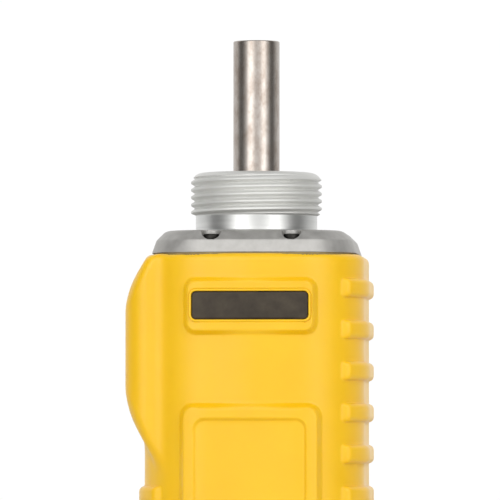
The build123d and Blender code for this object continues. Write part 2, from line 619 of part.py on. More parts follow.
def make_battery():
    """The pack: a tray that holds two cells, a cover, and the lock in the cover."""
    with BuildPart() as battery_tray:
        block((-PACK_X, PACK_X), (PACK_Y, COVER_Y), TRAY_Z)
        fillet(battery_tray.edges().filter_by(Axis.X).group_by(Axis.Y)[0], 2.0)
        block((-20, 20), (PACK_Y + 1.1, COVER_Y + 1), (21.5, 89.5), mode=Mode.SUBTRACT)
        block((-20, 20), (PACK_Y + 1.1, 24), (91, 109), mode=Mode.SUBTRACT)
        block((-5.4, 5.4), (26.6, 30), (88, 115), mode=Mode.SUBTRACT)
        rod_x((-30, 30), HINGE_Y, HINGE_Z, HINGE_R + 0.05, mode=Mode.SUBTRACT)
        for x in BAY_CONTACT_X:
            rod_y(x, (PACK_Y - 1, PACK_Y + 0.6), 102, 1.6, mode=Mode.SUBTRACT)
    save(battery_tray, "battery_tray")
    with BuildPart() as battery_cover:
        face_plate(PACK_X, COVER_Z, (COVER_Y, BACK_Y), 2.2)
        chamfer(battery_cover.faces().sort_by(Axis.Y)[-1].edges(), 0.8)
        face_plate(8.6, (LOCK_Z - 7.5, LOCK_Z + 11.5), (BACK_Y - 1.0, BACK_Y + 1), 1.5,
                   mode=Mode.SUBTRACT)
        block((-3.2, 3.2), (COVER_Y - 1, BACK_Y + 1), (LOCK_Z - 4.2, LOCK_Z + 8.2),
              mode=Mode.SUBTRACT)
    save(battery_cover, "battery_cover")
    with BuildPart() as battery_cells:
        for x in (-9.6, 9.6):
            post(x, 18.6, (22.2, 87.2), CELL_R)
            post(x, 18.6, (87.2, 88.6), 3.0)
    save(battery_cells, "battery_cells")
    with BuildPart() as battery_board:
        block((-18, 18), (14, 15.2), (92, 108))
        block((-8, 8), (15.2, 17.2), (95, 104))
    save(battery_board, "battery_board")
    with BuildPart() as battery_pads:
        for x in BAY_CONTACT_X:
            rod_y(x, (PACK_Y + 0.1, PACK_Y + 0.6), 102, 1.5)
    save(battery_pads, "battery_pads")
    with BuildPart() as battery_hinge_pin:
        rod_x((-BAY_X - 1.6, BAY_X + 1.6), HINGE_Y, HINGE_Z, HINGE_R)
    save(battery_hinge_pin, "battery_hinge_pin")


def make_lock():
    """The sliding lock: a thumb pad, a web through the cover and a bolt behind it."""
    with BuildPart() as battery_lock:
        face_plate(8.2, (LOCK_Z - 6.5, LOCK_Z + 6.5), (BACK_Y - 0.9, BACK_Y + 0.7), 1.2)
        for step in (-3.6, -1.2, 1.2, 3.6):
            block((-6, 6), (BACK_Y + 0.3, BACK_Y + 2), (LOCK_Z + step - 0.5, LOCK_Z + step + 0.5),
                  mode=Mode.SUBTRACT)
        block((-3, 3), (COVER_Y - 0.6, BACK_Y - 0.5), (LOCK_Z - 4, LOCK_Z + 4))
        block((-5, 5), (27.0, COVER_Y - 0.1), (LOCK_Z - 6, BAY_Z[1] - 0.4))
    save(battery_lock, "battery_lock")


os.makedirs("parts", exist_ok=True)
casing_shell = make_casing()
make_boot()
make_front_case(casing_shell)
make_gasket(casing_shell)
make_back_case(casing_shell)
make_case_screws()
make_top_plate()
make_plate_gasket()
make_plate_screws()
make_collar()
make_inlet_tube()
make_sensor()
make_board()
make_front_fittings()
for key_name, key_x in KEY_X.items():
    make_key(key_name, key_x)
make_pump()
make_gas_path()
make_sounder()
make_contacts()
make_port_door()
make_strap_bar()
make_battery()
make_lock()
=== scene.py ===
import math
import bmesh
import bpy
import numpy as np
import openvdb
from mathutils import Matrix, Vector


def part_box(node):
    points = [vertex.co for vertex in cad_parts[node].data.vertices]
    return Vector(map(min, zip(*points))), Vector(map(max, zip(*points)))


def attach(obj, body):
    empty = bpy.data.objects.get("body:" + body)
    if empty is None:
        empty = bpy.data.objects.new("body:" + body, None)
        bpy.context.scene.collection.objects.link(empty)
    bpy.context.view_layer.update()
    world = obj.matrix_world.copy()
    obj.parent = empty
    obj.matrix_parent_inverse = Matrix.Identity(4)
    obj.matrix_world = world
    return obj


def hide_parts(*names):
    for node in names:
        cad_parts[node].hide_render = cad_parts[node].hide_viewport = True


# Portable gas detector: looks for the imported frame. Metres. -Y is the display side.

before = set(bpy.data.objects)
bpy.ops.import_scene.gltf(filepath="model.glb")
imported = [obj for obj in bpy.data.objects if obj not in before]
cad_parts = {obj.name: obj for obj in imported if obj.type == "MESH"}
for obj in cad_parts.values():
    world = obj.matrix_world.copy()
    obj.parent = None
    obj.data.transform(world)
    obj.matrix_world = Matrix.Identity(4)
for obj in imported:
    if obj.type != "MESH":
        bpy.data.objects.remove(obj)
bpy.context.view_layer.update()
MM = 0.001


# ---------------------------------------------------------------- materials

def material(name):
    """A new node material, its node tree and its Principled shader."""
    mat = bpy.data.materials.new(name)
    mat.use_nodes = True
    tree = mat.node_tree
    shader = tree.nodes["Principled BSDF"]
    return mat, tree, shader


def node(tree, kind, **values):
    """A new node with its properties or input defaults set by name."""
    made = tree.nodes.new(kind)
    for key, value in values.items():
        if key in made.inputs:
            made.inputs[key].default_value = value
        else:
            setattr(made, key, value)
    return made


def noise(tree, scale, detail=4.0, rough=0.55, stretch=(1, 1, 1)):
    """Noise in object space, stretched along the axes; returns its value socket."""
    place = node(tree, "ShaderNodeTexCoord")
    mapping = node(tree, "ShaderNodeMapping")
    mapping.inputs["Scale"].default_value = stretch
    tex = node(tree, "ShaderNodeTexNoise", Scale=scale, Detail=detail, Roughness=rough)
    tree.links.new(place.outputs["Object"], mapping.inputs["Vector"])
    tree.links.new(mapping.outputs["Vector"], tex.inputs["Vector"])
    return tex.outputs["Fac"]


def ramp(tree, value, stops):
    """Map a value to colours: stops are (position, colour)."""
    made = node(tree, "ShaderNodeValToRGB")
    elements = made.color_ramp.elements
    while len(elements) < len(stops):
        elements.new(0.5)
    for element, (position, colour) in zip(elements, stops):
        element.position = position
        element.color = (*colour, 1.0)
    tree.links.new(value, made.inputs["Fac"])
    return made.outputs["Color"]


NOISE_LOW, NOISE_HIGH = 0.3, 0.7        # most of a noise's values lie between these


def blend(tree, value, dark, light):
    """Map a noise's value to the colours from dark to light."""
    return ramp(tree, value, ((NOISE_LOW, dark), (NOISE_HIGH, light)))


def spread(tree, value, low, high):
    """Map a noise's value to the range low to high."""
    made = node(tree, "ShaderNodeMapRange")
    made.inputs["From Min"].default_value = NOISE_LOW
    made.inputs["From Max"].default_value = NOISE_HIGH
    made.inputs["To Min"].default_value = low
    made.inputs["To Max"].default_value = high
    tree.links.new(value, made.inputs["Value"])
    return made.outputs["Result"]


def bump(tree, shader, height, strength, distance):
    """Give a shader a bump from a height value, with distance in metres."""
    made = node(tree, "ShaderNodeBump", Strength=strength, Distance=distance)
    tree.links.new(height, made.inputs["Height"])
    tree.links.new(made.outputs["Normal"], shader.inputs["Normal"])


def surface(name, dark, light, rough, metallic=0.0, scale=300.0, grain=900.0, depth=0.02,
            stretch=(1, 1, 1), specular=0.5, coat=0.0):
    """A surface whose colour and roughness vary a little, with a fine grain.

    dark and light are the ends of its colour, rough the two ends of its roughness,
    and depth the grain's height in millimetres.
    """
    mat, tree, shader = material(name)
    broad = noise(tree, scale, stretch=stretch)
    tree.links.new(blend(tree, broad, dark, light), shader.inputs["Base Color"])
    tree.links.new(spread(tree, broad, *rough), shader.inputs["Roughness"])
    shader.inputs["Metallic"].default_value = metallic
    shader.inputs["Specular IOR Level"].default_value = specular
    shader.inputs["Coat Weight"].default_value = coat
    if depth:
        bump(tree, shader, noise(tree, grain, 3.0, stretch=stretch), 0.6, depth * MM)
    return mat


def boot_rubber():
    """Yellow moulded rubber: slightly mottled, fine matte grain, a soft sheen."""
    mat, tree, shader = material("boot_rubber")
    colour = blend(tree, noise(tree, 60.0, 5.0), (0.88, 0.508, 0.001), (0.93, 0.542, 0.002))
    tree.links.new(colour, shader.inputs["Base Color"])
    tree.links.new(spread(tree, noise(tree, 240.0), 0.29, 0.36), shader.inputs["Roughness"])
    shader.inputs["Specular IOR Level"].default_value = 0.5
    shader.inputs["Subsurface Weight"].default_value = 0.12
    shader.inputs["Subsurface Radius"].default_value = (1.0, 0.55, 0.15)
    shader.inputs["Subsurface Scale"].default_value = 0.0015
    bump(tree, shader, noise(tree, 1800.0, 2.0), 0.3, 0.01 * MM)
    return mat


def polished_steel():
    """Polished tube with brown stains and fine drawn marks along Z."""
    mat, tree, shader = material("polished_steel")
    stain = noise(tree, 280.0, 7.0, rough=0.70, stretch=(1, 1, 0.6))
    colour = ramp(tree, stain, ((0.36, (0.34, 0.285, 0.245)), (0.60, (0.47, 0.43, 0.395))))
    tree.links.new(colour, shader.inputs["Base Color"])
    tree.links.new(spread(tree, stain, 0.24, 0.16), shader.inputs["Roughness"])
    shader.inputs["Metallic"].default_value = 1.0
    bump(tree, shader, noise(tree, 1500.0, 2.0, stretch=(1, 1, 0.05)), 0.25, 0.01 * MM)
    return mat


def turned_metal():
    """Turned aluminium: fine rings round Z, smooth on the neck and duller on the thread."""
    mat, tree, shader = material("turned_metal")
    place = node(tree, "ShaderNodeTexCoord")
    parts = node(tree, "ShaderNodeSeparateXYZ")
    tree.links.new(place.outputs["Object"], parts.inputs["Vector"])
    threaded = node(tree, "ShaderNodeMapRange")
    tree.links.new(parts.outputs["Z"], threaded.inputs["Value"])
    threaded.inputs["From Min"].default_value = (NECK_TOP - THREAD_FADE) * MM
    threaded.inputs["From Max"].default_value = (NECK_TOP + THREAD_FADE) * MM
    grain = noise(tree, 220.0, stretch=(0.1, 0.1, 3.0))
    smooth = blend(tree, grain, (0.56, 0.565, 0.55), (0.68, 0.68, 0.665))
    dull = blend(tree, grain, (0.70, 0.70, 0.68), (0.80, 0.80, 0.78))
    mixed = node(tree, "ShaderNodeMix")
    mixed.data_type = "RGBA"
    tree.links.new(threaded.outputs["Result"], mixed.inputs["Factor"])
    colour_a, colour_b = [socket for socket in mixed.inputs if socket.type == "RGBA"]
    tree.links.new(smooth, colour_a)
    tree.links.new(dull, colour_b)
    colour = [socket for socket in mixed.outputs if socket.type == "RGBA"][0]
    tree.links.new(colour, shader.inputs["Base Color"])
    tree.links.new(spread(tree, threaded.outputs["Result"], 0.29, 0.62), shader.inputs["Roughness"])
    shader.inputs["Metallic"].default_value = 1.0
    bump(tree, shader, noise(tree, 900.0, 3.0, stretch=(0.1, 0.1, 3.0)), 0.6, 0.02 * MM)
    return mat


def cast_metal():
    """Fine cast and tumbled aluminium."""
    return surface("cast_metal", (0.43, 0.42, 0.40), (0.53, 0.52, 0.50), (0.46, 0.56),
                   metallic=1.0, grain=1400.0, depth=0.04)


def smoked_plastic():
    """Dark smoked window with a broken gloss."""
    return surface("smoked_plastic", (0.026, 0.017, 0.008), (0.056, 0.042, 0.025), (0.28, 0.40),
                   scale=220.0, grain=1200.0, depth=0.004, specular=0.35)


def clear_lens():
    """Clear polycarbonate over the display, with faint haze."""
    mat, tree, shader = material("clear_lens")
    haze = noise(tree, 400.0)
    colour = blend(tree, haze, (0.80, 0.83, 0.80), (0.86, 0.88, 0.86))
    tree.links.new(colour, shader.inputs["Base Color"])
    tree.links.new(spread(tree, haze, 0.03, 0.07), shader.inputs["Roughness"])
    shader.inputs["Transmission Weight"].default_value = 1.0
    shader.inputs["IOR"].default_value = 1.49
    return mat


def screw_steel():
    """Dark oxide cap screws, worn lighter in places."""
    return surface("screw_steel", (0.018, 0.017, 0.015), (0.055, 0.052, 0.048), (0.38, 0.50),
                   metallic=1.0, scale=700.0, grain=2500.0, depth=0.01)


def display_panel():
    """Blank liquid crystal panel: grey-green, with its fine pixel rows."""
    mat, tree, shader = material("display_panel")
    place = node(tree, "ShaderNodeTexCoord")
    rows = node(tree, "ShaderNodeTexWave", Scale=900.0)
    rows.bands_direction = "Z"
    tree.links.new(place.outputs["Object"], rows.inputs["Vector"])
    colour = ramp(tree, rows.outputs["Fac"], ((0.2, (0.27, 0.31, 0.22)), (0.8, (0.31, 0.35, 0.255))))
    tree.links.new(colour, shader.inputs["Base Color"])
    shader.inputs["Roughness"].default_value = 0.35
    return mat


FINISHES = {
    "casing_plastic": surface("casing", (0.030, 0.030, 0.032), (0.050, 0.050, 0.053), (0.42, 0.55),
                              grain=1500.0, depth=0.03),
    "battery_plastic": surface("battery_case", (0.042, 0.042, 0.045), (0.066, 0.066, 0.070),
                               (0.45, 0.60), grain=1500.0, depth=0.04),
    "seal_rubber": surface("seal", (0.020, 0.019, 0.016), (0.036, 0.034, 0.029), (0.55, 0.70)),
    "steel": surface("steel", (0.50, 0.49, 0.47), (0.66, 0.64, 0.61), (0.22, 0.34), metallic=1.0,
                     scale=500.0, depth=0.01),
    "display": display_panel(),
    "circuit_board": surface("board", (0.010, 0.085, 0.030), (0.020, 0.140, 0.055), (0.30, 0.42),
                             scale=900.0, coat=0.3),
    "led_plastic": surface("led", (0.60, 0.05, 0.03), (0.80, 0.16, 0.10), (0.12, 0.22)),
    "component_black": surface("component", (0.018, 0.018, 0.018), (0.040, 0.040, 0.040),
                               (0.40, 0.55), scale=800.0),
    "motor_steel": surface("motor", (0.48, 0.48, 0.48), (0.62, 0.62, 0.62), (0.25, 0.38),
                           metallic=1.0, stretch=(0.1, 3.0, 3.0)),
    "pump_plastic": surface("pump", (0.15, 0.17, 0.20), (0.24, 0.26, 0.30), (0.38, 0.50)),
    "hose_rubber": surface("hose", (0.55, 0.54, 0.50), (0.70, 0.69, 0.65), (0.30, 0.42)),
    "sensor_polymer": surface("sensor", (0.68, 0.67, 0.63), (0.82, 0.81, 0.77), (0.36, 0.50)),
    "lamp_glass": surface("lamp", (0.55, 0.60, 0.64), (0.70, 0.75, 0.78), (0.05, 0.12), coat=0.5),
    "filter_media": surface("filter", (0.62, 0.61, 0.58), (0.80, 0.79, 0.76), (0.80, 0.95),
                            scale=1500.0, grain=3000.0, depth=0.10),
    "gold_contact": surface("gold", (0.72, 0.50, 0.16), (0.86, 0.64, 0.26), (0.18, 0.30),
                            metallic=1.0, scale=900.0, depth=0.005),
    "cell_wrap": surface("cell", (0.04, 0.14, 0.36), (0.07, 0.20, 0.48), (0.24, 0.34), coat=0.2),
}
BOOT = boot_rubber()


# ---------------------------------------------------------------- the frame's sizes
# From here to the camera, lengths are in millimetres until mesh_object() makes metres.

def span(name):
    """Lowest and highest corner of a CAD node, in millimetres."""
    low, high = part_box(name)
    return np.array(low) / MM, np.array(high) / MM


WINDOW_LOW, WINDOW_HIGH = span("alarm_window")
WINDOW_FLANGE = 2.2             # hidden rim behind the boot
LENS_LOW, LENS_HIGH = span("display_lens")
PLATE_LOW, PLATE_HIGH = span("top_plate")
COVER_LOW, COVER_HIGH = span("battery_cover")
LOCK_LOW, LOCK_HIGH = span("battery_lock")
DOOR_LOW, DOOR_HIGH = span("port_door")
OUTLET_LOW, OUTLET_HIGH = span("gas_outlet")
STRAP_LOW, STRAP_HIGH = span("strap_bar")
BOOT_LOW, BOOT_HIGH = span("rubber_boot")
TUBE_LOW, TUBE_HIGH = span("inlet_tube")
COLLAR_LOW, COLLAR_HIGH = span("threaded_collar")
KEYS = {key: span(key) for key in ("key_left", "key_mode", "key_right")}

BODY_HALF = (33.7, 31.0)        # half the boot's plan, round (0, BODY_Y)
BODY_Y = 0.5
BODY_TOP = BOOT_HIGH[2]
FRONT_R = 21.0                  # corners of the plan, in front and behind
BACK_R = 12.0
WALL = 2.4                      # thickness of the boot
CROWN = (1.5, 11.0)             # how far the front falls back at its sides, and over what width
CROWN_REACH = 20.0              # the fall is whole this far in front of the plan's middle
OPENING_EDGE = 0.35             # rounding of the openings' edges
WINDOW_PAD = ((0.0, 172.85), (20.6, 8.95), 4.0)     # middle, half size, corner radius
PANEL_RIM = ((0.0, 82.8), (21.85, 60.8), 4.6)
PANEL_FLOOR = ((0.0, 82.8), (17.5, 56.2), 3.7)
PAD_HEIGHT = 0.8                # how far the two frames stand proud of the front
PAD_FADE = (12.0, 4.0)          # they fade in from this far forward, over this length
PAD_SLOPE = 1.75                # width of the slope outside a frame
PANEL_SLOPE = 1.2               # and inside the lower one
LIP = 0.75                      # width of the lip round the window
LIP_GAP = -0.05                 # between that lip and its opening, which overlap a little
LIP_BACK = -28.2                # y of the lip's hidden edge
LIP_EDGE = 0.36                 # rounding of its front edges
BULGE_PLAN = (-3.2, 20.2, 7.5)  # middle and half length along Y, corner radius
BULGE_SLOPES = (                # (x, z) of the normal, and of a point, for the slopes on its ends
    ((-0.845, 0.534), (-35.0, 183.6)),
    ((-0.870, -0.493), (-35.9, 136.6)))
BULGE_EDGE = 3.2                # rounding between its side and those slopes
BULGE_REACH = (-24.0, -1.5, 25.0)   # it lies beyond this x, and this far to either side of this y
BASE_TOP = 7.0                  # the boot's floor and its edge end below this height
RIB_TOP = 178.5                 # height of the highest rib's middle
RIB_PITCH = 12.65
RIB_RISE = 1.7                  # how far a rib stands out from the body
RIB_HALF = 2.85                 # half of a rib's height
RIB_START = (24.0, -22.9)       # where the ribs end in front: distance from the middle, and y
RIB_END = 16.0                  # and y where they end behind
SLOTS_Z = (152.6, 3.2, 5)       # the sounder's slots: first, step, count
SLOT = ((4.75, 0.0), (3.25, 0.7), 0.69)             # middle, half size, corner radius
COVER_SWING = 1.4               # room for the tilting cover's lower edge
OUTLET_RECESS_R = 6.5
STRAP_RECESS = ((7.0, 7.0), 2.5)    # half size, corner radius
DOOR_OPENING = ((9.3, 9.9), 1.2)
CHARGE_OPENING = ((0.0, -8.0), (9.0, 5.0), 1.5)
FRONT_CUT = -15.0               # the openings are cut only beyond these planes: y,
BACK_CUT = 20.0                 # y,
SIDE_CUT = -30.0                # x,
BASE_CUT = 5.0                  # and z

PLATE_HALF = (31.5, 28.1)       # half the plate's plan at its base
PLATE_INSET = 2.75              # the plate's corners are this much tighter than the boot's
PLATE_LEAN = (0.944, 0.330)     # cosine and sine of the skirt's lean
PLATE_CREASE = (1.4, 4.0)       # where the skirt meets the bevel: how far in, and how high
PLATE_BORE = 17.05
POCKET_AT = (12.2, 23.1)        # the screw pockets, to either side of the middle
POCKET_R = 3.0
POCKET_FLOOR = 4.1              # above the plate's base
POCKET_HOLE = 1.6               # radius of the screw's hole
SCREW_HEAD = (2.4, 1.6)         # radius and height
SCREW_SHANK = (1.45, 9.0)       # radius and length under the head
SCREW_HEX = 1.15                # half the hexagon's width across flats
SCREW_HEX_FLOOR = 0.6           # height of the hexagon's floor in the head
SCREW_TURN = 0.3                # radians that the hexagon is turned

NECK_R = 18.7
NECK_FLARE = (19.1, 18.85)      # the neck's radii where it meets the plate
NECK_TOP = 201.2
THREAD_FADE = 0.4               # the surface changes over this height to either side of NECK_TOP
THREAD_PITCH = 2.29
THREAD_CREST = 20.15
THREAD_ROOT = 19.0
THREAD_FROM = 202.2             # height of a crest at the collar's left
THREAD_TOOTH = (0.50, 0.42)     # in pitches: half a tooth's foot, and how much of that is flank
COLLAR_END = 214.4
COLLAR_FOOT_R = 17.0
COLLAR_INNER_R = 14.5           # the collar's inside, under its web
COLLAR_WEB_Z = 208.0
COLLAR_GROOVE = (9.6, 15.1, 1.2)    # groove in the end: inner and outer radius, depth
# Rounding of the collar's end: the largest radius at each height
END_Z = np.array((196.0, 212.0, 212.9, 213.6, 214.0, 214.25, COLLAR_END))
END_R = np.array((20.2, 20.15, 19.5, 18.8, 18.2, 17.5, 16.6))

TUBE_R = 7.15
TUBE_BORE = 3.0
TUBE_FOOT = (10.5, 2.2)         # radius and thickness
COLLAR_BORE = 6.75
TUBE_SEAT_R = 6.7               # the tube's radius in that bore

KEY_CAP = ((4.3, 6.0), 3.4)     # half size, corner radius
KEY_FLANGE = ((5.1, 6.8), 4.0)
KEY_FLANGE_Y = (-25.3, -24.3)
KEY_DISH_R = 12.7
KEY_DISH_SINK = 0.5
KEY_STEM_R = 1.5

COVER_RIBS = ((0.0, 46.5), (15.0, 22.5), 2.0)       # the field of ribs on the cover
COVER_RIB_PITCH = 5.0
COVER_RIB_SINK = 0.45
LOCK_RECESS = ((0.0, 100.0), (8.6, 9.5), 1.5)
LOCK_SLOT = ((0.0, 100.0), (3.2, 6.2), 0.4)
LOCK_Z = 98.0                   # middle of the thumb pad, with the lock open
LOCK_PAD = ((0.0, LOCK_Z), (8.2, 6.5), 1.4)
LOCK_GRIP = ((0.0, LOCK_Z), (6.2, 4.4), 0.5)
LOCK_WEB = ((0.0, LOCK_Z), (3.0, 4.0), 0.3)
LOCK_BOLT = ((0.0, 102.3), (5.0, 10.3), 0.6)
LOCK_GROOVE_PITCH = 2.4

DOOR_Z = 37.5
DOOR_FLAP = ((8.6, DOOR_Z), (6.2, 8.5), 1.4)
DOOR_ARM = ((16.0, DOOR_Z), (1.8, 6.95), 0.3)
DOOR_PLUG = ((9.5, DOOR_Z), (3.3, 1.3), 0.5)
DOOR_PIN = (-32.65, 17.6)       # x and y of the hinge
DOOR_KNUCKLE_R = 1.2
DOOR_KNUCKLE_Z = (30.6, 44.4)
DOOR_PIN_HOLE = 0.76


# ---------------------------------------------------------------- distances
# A distance is negative inside its shape. x, y and z are arrays of any matching shape.

def round_max(a, b, radius):
    """What two shapes share, with the edge between them rounded."""
    corner = np.hypot(np.maximum(a + radius, 0.0), np.maximum(b + radius, 0.0))
    return np.minimum(np.maximum(a, b), -radius) + corner


def smooth_min(a, b, width):
    """Two shapes joined with a fillet."""
    share = np.clip(0.5 + 0.5 * (b - a) / width, 0.0, 1.0)
    return b + (a - b) * share - width * share * (1.0 - share)


def round_rect(u, v, middle, half, radius):
    """A rectangle with round corners."""
    across = np.abs(u - middle[0]) - half[0] + radius
    along = np.abs(v - middle[1]) - half[1] + radius
    outside = np.hypot(np.maximum(across, 0.0), np.maximum(along, 0.0))
    return np.minimum(np.maximum(across, along), 0.0) + outside - radius


def between(value, low, high):
    """The slab from low to high."""
    return np.abs(value - (low + high) / 2) - (high - low) / 2


def rect_of(low, high, grow, radius):
    """round_rect's last arguments for a node's box seen from the front or back."""
    middle = ((low[0] + high[0]) / 2, (low[2] + high[2]) / 2)
    half = ((high[0] - low[0]) / 2 + grow, (high[2] - low[2]) / 2 + grow)
    return middle, half, radius


def ease(value):
    """0 to 1 with soft ends."""
    share = np.clip(value, 0.0, 1.0)
    return share * share * (3.0 - 2.0 * share)


def unequal_rect(x, depth, half, front_r, back_r):
    """A plan whose corners in front, at negative depth, differ from the ones behind."""
    radius = np.where(depth < 0, front_r, back_r)
    across = np.abs(x) - half[0] + radius
    along = np.abs(depth) - half[1] + radius
    outside = np.hypot(np.maximum(across, 0.0), np.maximum(along, 0.0))
    return np.minimum(np.maximum(across, along), 0.0) + outside - radius


def body_plan(x, y, crown=1.0):
    """The body's plan: wide corners in front, tighter ones behind, and a crowned front."""
    depth = y - BODY_Y
    fall = crown * CROWN[0] * (1.0 - np.exp(-(x / CROWN[1]) ** 2))
    depth = depth - fall * np.clip(-depth / CROWN_REACH, 0.0, 1.0)
    return unequal_rect(x, depth, BODY_HALF, FRONT_R, BACK_R)


def sounder_bulge(x, y, z):
    """The swelling on the left side, sloped off above and below."""
    outer = BOOT_LOW[0]
    middle_y, half_y, radius = BULGE_PLAN
    bulge = round_rect(x, y, (outer / 2, middle_y), (-outer / 2, half_y), radius)
    for (normal_x, normal_z), (at_x, at_z) in BULGE_SLOPES:
        beyond = normal_x * (x - at_x) + normal_z * (z - at_z)
        bulge = round_max(bulge, beyond, BULGE_EDGE)
    return bulge


def grip_ribs(x, y, z, side, first, last):
    """Ribs round the front corner and one side."""
    turn = np.clip(np.round((RIB_TOP - z) / RIB_PITCH), first, last)
    height = np.abs(z - RIB_TOP + turn * RIB_PITCH) - RIB_HALF
    rib = round_max(body_plan(x, y) - RIB_RISE, height, RIB_RISE)
    ends = np.maximum(np.maximum(RIB_START[0] - side * x, RIB_START[1] - y), y - RIB_END)
    return round_max(rib, ends, 0.9)


def front_relief(x, y, z):
    """How far the frames stand proud of the front, and where the front is flat for them."""
    window = ease(-round_rect(x, z, *WINDOW_PAD) / PAD_SLOPE)
    rim = ease(-round_rect(x, z, *PANEL_RIM) / PAD_SLOPE)
    floor = ease(-round_rect(x, z, *PANEL_FLOOR) / PANEL_SLOPE)
    front = np.clip((-y - PAD_FADE[0]) / PAD_FADE[1], 0.0, 1.0)
    return PAD_HEIGHT * front * (window + rim * (1.0 - floor)), window + rim


def front_openings(x, z):
    """The openings of the window, the display and the keys."""
    lip = rect_of(WINDOW_LOW, WINDOW_HIGH, LIP + LIP_GAP - WINDOW_FLANGE, 2.3)
    holes = round_rect(x, z, *lip)
    holes = np.minimum(holes, round_rect(x, z, *rect_of(LENS_LOW, LENS_HIGH, 0.5, 2.6)))
    for low, high in KEYS.values():
        holes = np.minimum(holes, round_rect(x, z, *rect_of(low, high, -0.4, 3.8)))
    return holes


def back_openings(x, z):
    """The openings of the battery cover, the gas outlet and the strap bar."""
    # Below the cover the opening is deeper, because the cover's lower edge swings down there
    cover = rect_of(COVER_LOW - (0.0, 0.0, COVER_SWING), COVER_HIGH, 0.4, 2.5)
    holes = round_rect(x, z, *cover)
    outlet = ((OUTLET_LOW + OUTLET_HIGH) / 2)[[0, 2]]
    holes = np.minimum(holes, np.hypot(x - outlet[0], z - outlet[1]) - OUTLET_RECESS_R)
    strap = ((STRAP_LOW + STRAP_HIGH) / 2)[[0, 2]]
    return np.minimum(holes, round_rect(x, z, strap, *STRAP_RECESS))


def side_openings(y, z):
    """The port door's opening and the sounder's two columns of slots."""
    door_middle = ((DOOR_LOW + DOOR_HIGH) / 2)[1:] + (0.3, 0.0)
    first, step, count = SLOTS_Z
    slot_z = first + np.clip(np.round((z - first) / step), 0, count - 1) * step
    slots = round_rect(np.abs(y), z - slot_z, *SLOT)
    return np.minimum(round_rect(y, z, door_middle, *DOOR_OPENING), slots)


def boot_openings(x, y, z):
    """Everything that is cut through the boot, each opening on its own side."""
    holes = np.maximum(front_openings(x, z), y - FRONT_CUT)
    holes = np.minimum(holes, np.maximum(back_openings(x, z), BACK_CUT - y))
    holes = np.minimum(holes, np.maximum(side_openings(y, z), x - SIDE_CUT))
    charging = round_rect(x, y, *CHARGE_OPENING)
    return np.minimum(holes, np.maximum(charging, z - BASE_CUT))


def boot(x, y, z):
    """The yellow boot: a shell with its relief, ribs and openings."""
    bulge = sounder_bulge(x, y, z)
    relief, flat = front_relief(x, y, z)
    plan = smooth_min(body_plan(x, y, 1.0 - flat), bulge, 1.6)
    skin = round_max(round_max(plan, z - BODY_TOP, 2.2), -z, 4.0) - relief
    skin = smooth_min(skin, grip_ribs(x, y, z, 1, 0, 12), 0.5)
    skin = smooth_min(skin, grip_ribs(x, y, z, -1, 5, 8), 0.5)
    hollow = np.minimum(body_plan(x, y, 0.0), bulge) + WALL
    hollow = np.maximum(hollow, WALL - z)
    skin = np.maximum(skin, -hollow)
    return round_max(skin, -boot_openings(x, y, z), OPENING_EDGE)


def near_boot_wall(x, y, z):
    """Which columns of the grid can hold part of the boot at height z."""
    plan = body_plan(x, y)
    reach = RIB_RISE + 1.2
    wall = (plan > -(WALL + 2.0)) & (plan < reach)
    swelling = (x < BULGE_REACH[0]) & (np.abs(y - BULGE_REACH[1]) < BULGE_REACH[2])
    return wall | swelling if z > BASE_TOP else plan < reach


def top_plate(x, y, z):
    """The cast plate: tapered skirt, bevel, collar's bore and four screw pockets."""
    base, top = PLATE_LOW[2], PLATE_HIGH[2]
    plan = unequal_rect(x, y - BODY_Y, PLATE_HALF, FRONT_R - PLATE_INSET, BACK_R - PLATE_INSET)
    skirt = PLATE_LEAN[0] * plan + PLATE_LEAN[1] * (z - base)
    bevel = 0.707 * (plan + PLATE_CREASE[0] + z - base - PLATE_CREASE[1])
    plate = round_max(skirt, bevel, 0.12)
    plate = round_max(plate, z - top, 0.8)
    plate = round_max(plate, base - z, 0.3)
    plate = np.maximum(plate, PLATE_BORE - np.hypot(x, y))
    pocket = np.hypot(np.abs(x) - POCKET_AT[0], np.abs(y) - POCKET_AT[1])
    plate = round_max(plate, -np.maximum(pocket - POCKET_R, base + POCKET_FLOOR - z), 0.25)
    return np.maximum(plate, POCKET_HOLE - pocket)


def socket_screw(x, y, z):
    """A cap screw's head with a hexagon socket, standing on z = 0, and its shank."""
    reach = np.hypot(x, y)
    head = round_max(reach - SCREW_HEAD[0], between(z, 0.0, SCREW_HEAD[1]), 0.3)
    shank = np.maximum(reach - SCREW_SHANK[0], between(z, -SCREW_SHANK[1], 0.3))
    turn = np.arctan2(y, x) + SCREW_TURN
    sector = np.mod(turn, math.pi / 3) - math.pi / 6
    socket = np.maximum(reach * np.cos(sector) - SCREW_HEX, SCREW_HEX_FLOOR - z)
    return round_max(np.minimum(head, shank), -socket, 0.08)


def front_panel(low, high, radius, edge):
    """The distance of a flat panel with soft edges that fills a node's box."""
    outline = rect_of(low, high, 0.0, radius)

    def panel(x, y, z):
        flat = round_rect(x, z, *outline)
        return round_max(flat, between(y, low[1], high[1]), edge)
    return panel


